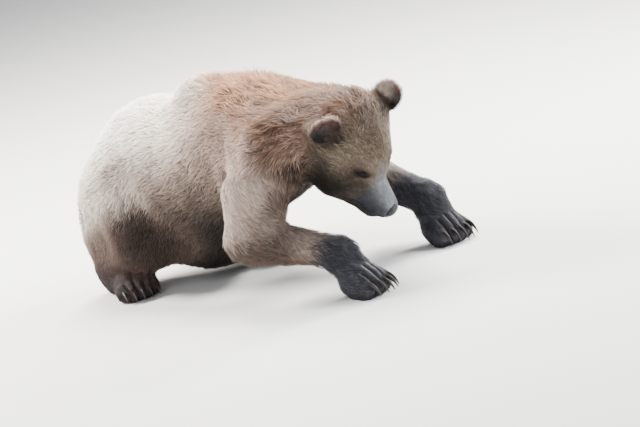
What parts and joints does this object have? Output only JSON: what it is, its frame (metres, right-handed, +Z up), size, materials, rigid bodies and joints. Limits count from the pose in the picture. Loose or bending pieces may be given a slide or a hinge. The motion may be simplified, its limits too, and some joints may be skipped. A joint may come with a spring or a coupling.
{
  "type": "grizzly bear",
  "caption": "Life-size still model of a young grizzly bear in a low crouch, head hung down between its forelegs, standing on four flat paws.",
  "frame": {"origin": "centre of the bounding box's base, on the floor under the belly", "axes": "+X the way the bear heads, which is its longest extent, +Y its left, +Z up"},
  "size_m": [1.3722, 0.7866, 0.6965],
  "materials": {
    "pale_coat": "long matt fur, cream on the rump and flank, warm brown on the shoulders, darker at the roots",
    "face_coat": "short grizzled fur, grey-tan with dark rings round the eyes",
    "brown_coat": "mid-length brown fur",
    "dark_coat": "short wet fur, almost black",
    "claw": "dark horn with paler tips",
    "nose": "wet, fine-grained, blue-black",
    "eye": "wet dark brown"
  },
  "bodies": {
    "root": {"ear_left": "face_coat", "ear_right": "face_coat", "eye_left": "eye", "eye_right": "eye", "forearm_left": "brown_coat", "forearm_right": "brown_coat", "forepaw_left": "dark_coat", "forepaw_left_claw_1": "claw", "forepaw_left_claw_2": "claw", "forepaw_left_claw_3": "claw", "forepaw_left_claw_4": "claw", "forepaw_left_claw_5": "claw", "forepaw_right": "dark_coat", "forepaw_right_claw_1": "claw", "forepaw_right_claw_2": "claw", "forepaw_right_claw_3": "claw", "forepaw_right_claw_4": "claw", "forepaw_right_claw_5": "claw", "head": "face_coat", "hind_foot_left": "dark_coat", "hind_foot_left_claw_1": "claw", "hind_foot_left_claw_2": "claw", "hind_foot_left_claw_3": "claw", "hind_foot_left_claw_4": "claw", "hind_foot_left_claw_5": "claw", "hind_foot_right": "dark_coat", "hind_foot_right_claw_1": "claw", "hind_foot_right_claw_2": "claw", "hind_foot_right_claw_3": "claw", "hind_foot_right_claw_4": "claw", "hind_foot_right_claw_5": "claw", "neck": "pale_coat", "nose": "nose", "shank_left": "brown_coat", "shank_right": "brown_coat", "tail": "pale_coat", "thigh_left": "pale_coat", "thigh_right": "pale_coat", "trunk": "pale_coat", "upper_foreleg_left": "pale_coat", "upper_foreleg_right": "pale_coat"}
  },
  "joints": []
}
